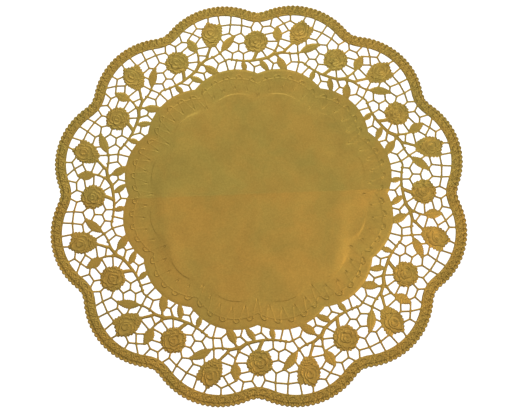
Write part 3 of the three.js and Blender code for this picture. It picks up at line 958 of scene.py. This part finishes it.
def corner_normals(verts, faces, kind):
    """Corner normals: smooth over front and back, flat on the walls."""
    a, b, c = (verts[faces[:, k]] for k in range(3))
    flat = np.cross(b - a, c - a)
    total = np.zeros_like(verts)
    smooth = kind != WALL
    for k in range(3):
        for part in range(3):
            total[:, part] += np.bincount(faces[smooth, k], flat[smooth, part], len(verts))
    corners = where(smooth[:, None, None], total[faces], flat[:, None, :])
    return corners / norm(corners, axis=2, keepdims=True)


def add_object(name, data, spot=(0, 0, 0), turn=(0, 0, 0), **settings):
    """An object in the scene, and its data's settings."""
    for key, value in settings.items():
        setattr(data, key, value)
    made = bpy.data.objects.new(name, data)
    made.location, made.rotation_euler = spot, turn
    bpy.context.scene.collection.objects.link(made)
    return made


def add_mesh(name, verts, faces, normals=None):
    """A mesh object in the scene."""
    mesh = bpy.data.meshes.new(name)
    mesh.from_pydata(verts.tolist(), [], faces.tolist())
    if normals is not None:
        mesh.shade_smooth()
        mesh.normals_split_custom_set(normals.reshape(-1, 3).tolist())
    return add_object(name, mesh)


def fill(tree, made, *sockets, **settings):
    """Set a node up and return its output. In a name, _ stands for a space."""
    inputs = list(zip(made.inputs, sockets))
    for name, value in settings.items():
        if hasattr(made, name):
            setattr(made, name, value)
        else:
            inputs.append((made.inputs[name.replace("_", " ")], value))
    for socket, value in inputs:
        if isinstance(value, bpy.types.NodeSocket):
            tree.links.new(value, socket)
        else:
            socket.default_value = value
    return next((output for output in made.outputs if output.enabled), None)


def node(tree, kind, *sockets, **settings):
    """The output of a new shader node."""
    return fill(tree, tree.nodes.new("ShaderNode" + kind), *sockets, **settings)


def spread(tree, value, old, new):
    """A value with its old range mapped to a new one."""
    limits = {"From_Min": old[0], "From_Max": old[1], "To_Min": new[0], "To_Max": new[1]}
    return node(tree, "MapRange", Value=value, **limits)


def toned(tree, value, tones):
    """A value's colour on a ramp, from rows of place and colour."""
    ramp = tree.nodes.new("ShaderNodeValToRGB")
    elements = ramp.color_ramp.elements
    for _ in tones[2:]:
        elements.new(0.5)
    for element, (share, colour) in zip(elements, tones):
        element.position, element.color = share, (*colour, 1)
    return fill(tree, ramp, value)


def new_material(name):
    """A material, its node tree and its shader."""
    material = bpy.data.materials.new(name)
    material.use_nodes = True
    return material, material.node_tree, material.node_tree.nodes["Principled BSDF"]


# The foil: two golds, and noises that make its tones. Scales are for each metre.
GOLD = (0.462, 0.265, 0.050, 1)
OLIVE_GOLD = (0.370, 0.262, 0.053, 1)
FOIL_NOISE = {
    "clouds": {"Scale": 38.0, "Detail": 4.0, "Roughness": 0.6},
    "patches": {"Scale": 26.0, "Detail": 5.0, "Roughness": 0.62, "Distortion": 0.4},
    "flecks": {"Scale": 760.0, "Detail": 3.0, "Roughness": 0.6},
    "grain": {"Scale": 2600.0, "Detail": 2.0, "Roughness": 0.55},
    "wear": {"Scale": 11.0, "Detail": 2.0},
}
# Each tone's noise, and the range of it that becomes another
FOIL_TONES = {
    "olive": ("patches", (0.38, 0.62), (0.0, 0.6)),
    "shade": ("clouds", (0.3, 0.7), (0.89, 1.08)),
    "fleck": ("flecks", (0.3, 0.7), (0.90, 1.10)),
    "rough": ("clouds", (0.3, 0.7), (0.27, 0.36)),
    "worn": ("wear", (0.42, 0.58), (0.0, 1.0)),
}
# Painted shade on the far half of the folded sheet: how softly, and how far, the foil turns olive beyond the
# fold
FOLD_SIDE_PAINTED_SHADE = {"soft": 0.9 * MM, "olive": 0.45}
CREASE = {"wide": 0.7 * MM, "depth": 0.15 * MM}
GRAIN = {"Strength": 0.25, "Distance": 0.03 * MM}


def gold_foil():
    """Satin gold foil: fine grain, faint clouds, and painted shade that turns the foil greener beyond the
    fold.
    """
    material, tree, shader = new_material("gold_foil")
    spot = tree.nodes.new("ShaderNodeTexCoord").outputs["Object"]
    noise = {name: node(tree, "TexNoise", Vector=spot, **row) for name, row in FOIL_NOISE.items()}
    tone = {name: spread(tree, noise[of], old, new) for name, (of, old, new) in FOIL_TONES.items()}
    fold = (FOLD["through"][1] - FOLD["slope"] * FOLD["through"][0]) * MM
    across = node(tree, "VectorMath", spot, (-FOLD["slope"], 1.0, 0.0), operation="DOT_PRODUCT")
    soft = FOLD_SIDE_PAINTED_SHADE["soft"]
    # Painted shade: past the fold line the foil is mixed towards olive gold, standing in for that half of
    # the sheet meeting the light differently; the random olive patches are then added to it
    beyond = spread(tree, across, (fold - soft, fold + soft), (0.0, FOLD_SIDE_PAINTED_SHADE["olive"]))
    olive = node(tree, "Math", beyond, tone["olive"], operation="ADD")
    colour = node(tree, "Mix", data_type="RGBA", Factor=olive, A=GOLD, B=OLIVE_GOLD)
    dapple = node(tree, "Math", tone["shade"], tone["fleck"], operation="MULTIPLY")
    tinted = node(tree, "VectorMath", colour, operation="SCALE", Scale=dapple)
    off_fold = node(tree, "Math", across, fold, operation="SUBTRACT")
    away = node(tree, "Math", off_fold, operation="ABSOLUTE")
    crease = spread(tree, away, (0.0, CREASE["wide"]), (1.0, 0.0))
    mark = node(tree, "Math", crease, tone["worn"], operation="MULTIPLY")
    grained = node(tree, "Bump", Height=noise["grain"], **GRAIN)
    pressed = node(tree, "Bump", Strength=1.0, Distance=CREASE["depth"], Height=mark, Normal=grained)
    fill(tree, shader, Base_Color=tinted, Metallic=0.92, Specular_IOR_Level=0.5, Roughness=tone["rough"],
         Normal=pressed)
    return material


PAPER_TONES = [(0.0, (0.70, 0.67, 0.60)), (1.0, (0.84, 0.82, 0.76))]
FIBRES = {"Scale": 900.0, "Detail": 5.0, "Roughness": 0.7}
FIBRE_BUMP = {"Strength": 0.4, "Distance": 0.05 * MM}


def white_paper():
    """The paper's off-white underside, with fibres."""
    material, tree, shader = new_material("white_paper")
    spot = tree.nodes.new("ShaderNodeTexCoord").outputs["Object"]
    fibres = node(tree, "TexNoise", Vector=spot, **FIBRES)
    bump = node(tree, "Bump", Height=fibres, **FIBRE_BUMP)
    fill(tree, shader, Base_Color=toned(tree, fibres, PAPER_TONES), Roughness=0.85, Normal=bump)
    return material


QUARTERS = ["doily_far_right", "doily_far_left", "doily_near_left", "doily_near_right"]


def doily_quarters():
    """The sheet as four closed meshes, since one would be too heavy."""
    plan, height, faces, kind = sheet_mesh()
    verts = np.column_stack([plan, height + lift(plan)]) * MM
    normals = corner_normals(verts, faces, kind)
    repeat = arange(len(faces)) * REPEATS // len(faces)
    quarter = (repeat - 1) % REPEATS * len(QUARTERS) // REPEATS
    in_front = zeros(len(verts), bool)
    in_front[faces[kind == FRONT_FACE]] = True
    foil, paper = gold_foil(), white_paper()
    pieces = []
    for number, name in enumerate(QUARTERS):
        mine = quarter == number
        sides = open_sides(faces[mine])
        upper, lower = np.all(in_front[sides], axis=1), np.all(~in_front[sides], axis=1)
        cut = walls_between(plan, sides[upper], unique(sides[lower]))
        cut_kind = full(len(cut), WALL)
        own_normals = joined([normals[mine], corner_normals(verts, cut, cut_kind)])
        own_kind = joined([kind[mine], cut_kind])
        used, own_faces = unique(joined([faces[mine], cut]), return_inverse=True)
        piece = add_mesh(name, verts[used], own_faces.reshape(-1, 3), own_normals)
        piece.data.materials.append(foil)
        piece.data.materials.append(paper)
        piece.data.polygons.foreach_set("material_index", (own_kind == BACK_FACE).astype(np.int32))
        pieces.append(piece)
    return pieces


FLOOR_HALF = 10
FLOOR_GREY = (0.88, 0.88, 0.88, 1)
FLOOR_GLOW = 0.6


def floor():
    """A plain pale floor that glows slightly."""
    corners = FLOOR_HALF * array([(-1, -1, 0), (1, -1, 0), (1, 1, 0), (-1, 1, 0)])
    piece = add_mesh("floor", corners, array([(0, 1, 2, 3)]))
    material, tree, shader = new_material("pale_floor")
    fill(tree, shader, Base_Color=FLOOR_GREY, Roughness=0.9, Specular_IOR_Level=0.1,
         Emission_Color=(1, 1, 1, 1), Emission_Strength=FLOOR_GLOW)
    piece.data.materials.append(material)
    return piece


SKY_MIDDLE = (0.05, 0.25, 0.967)
SKY_STRETCH = (0.7, 1.0, 1.0)  # longer from left to right
# Share of the way to the sky's middle, and how grey it is there
SKY_TONES = [(0.0, 0.55), (0.28, 0.50), (0.46, 0.17), (0.72, 0.36), (0.93, 0.84), (1.0, 0.97)]


def sky():
    """Soft studio surroundings, bright overhead."""
    world = bpy.data.worlds.new("studio")
    world.use_nodes = True
    tree = world.node_tree
    spot = tree.nodes.new("ShaderNodeTexCoord").outputs["Generated"]
    spot = node(tree, "VectorMath", spot, SKY_STRETCH, operation="MULTIPLY")
    spot = node(tree, "VectorMath", spot, operation="NORMALIZE")
    toward = node(tree, "VectorMath", spot, SKY_MIDDLE, operation="DOT_PRODUCT")
    greys = [(share, (grey, grey, grey)) for share, grey in SKY_TONES]
    fill(tree, tree.nodes["Background"], Color=toned(tree, toward, greys))
    bpy.context.scene.world = world


SOFTBOXES = [
    {"name": "right", "spot": (0.6, -0.1, 1.1), "size": 0.45, "size_y": 0.6, "energy": 1.2,
     "color": (1.0, 0.84, 0.62)},
    {"name": "far", "spot": (-0.12, 0.97, 0.72), "size": 1.1, "size_y": 0.6, "energy": 2.9,
     "color": (1.0, 0.98, 0.94)},
]


def softbox(name, spot, **settings):
    """A soft rectangular light that faces the doily."""
    turn = (-Vector(spot)).to_track_quat("-Z", "Y").to_euler()
    add_object(name, bpy.data.lights.new(name, "AREA"), spot, turn, shape="RECTANGLE", **settings)


CAMERA = {"spot": (0.0154, -0.1578, 0.6299), "lens": 52.69, "sensor_width": 36.0, "clip_start": 0.01}
CAMERA_TURN = (13.04, 1.24, -0.07)


def camera():
    """The photo's view, a little from the front."""
    turn = radians(CAMERA_TURN)
    bpy.context.scene.camera = add_object("camera", bpy.data.cameras.new("camera"), turn=turn, **CAMERA)


camera()
sky()
for row in SOFTBOXES:
    softbox(**row)
floor()
for piece in doily_quarters():
    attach(piece, "root")
    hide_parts("doily")
bpy.context.scene.view_settings.view_transform = "Standard"
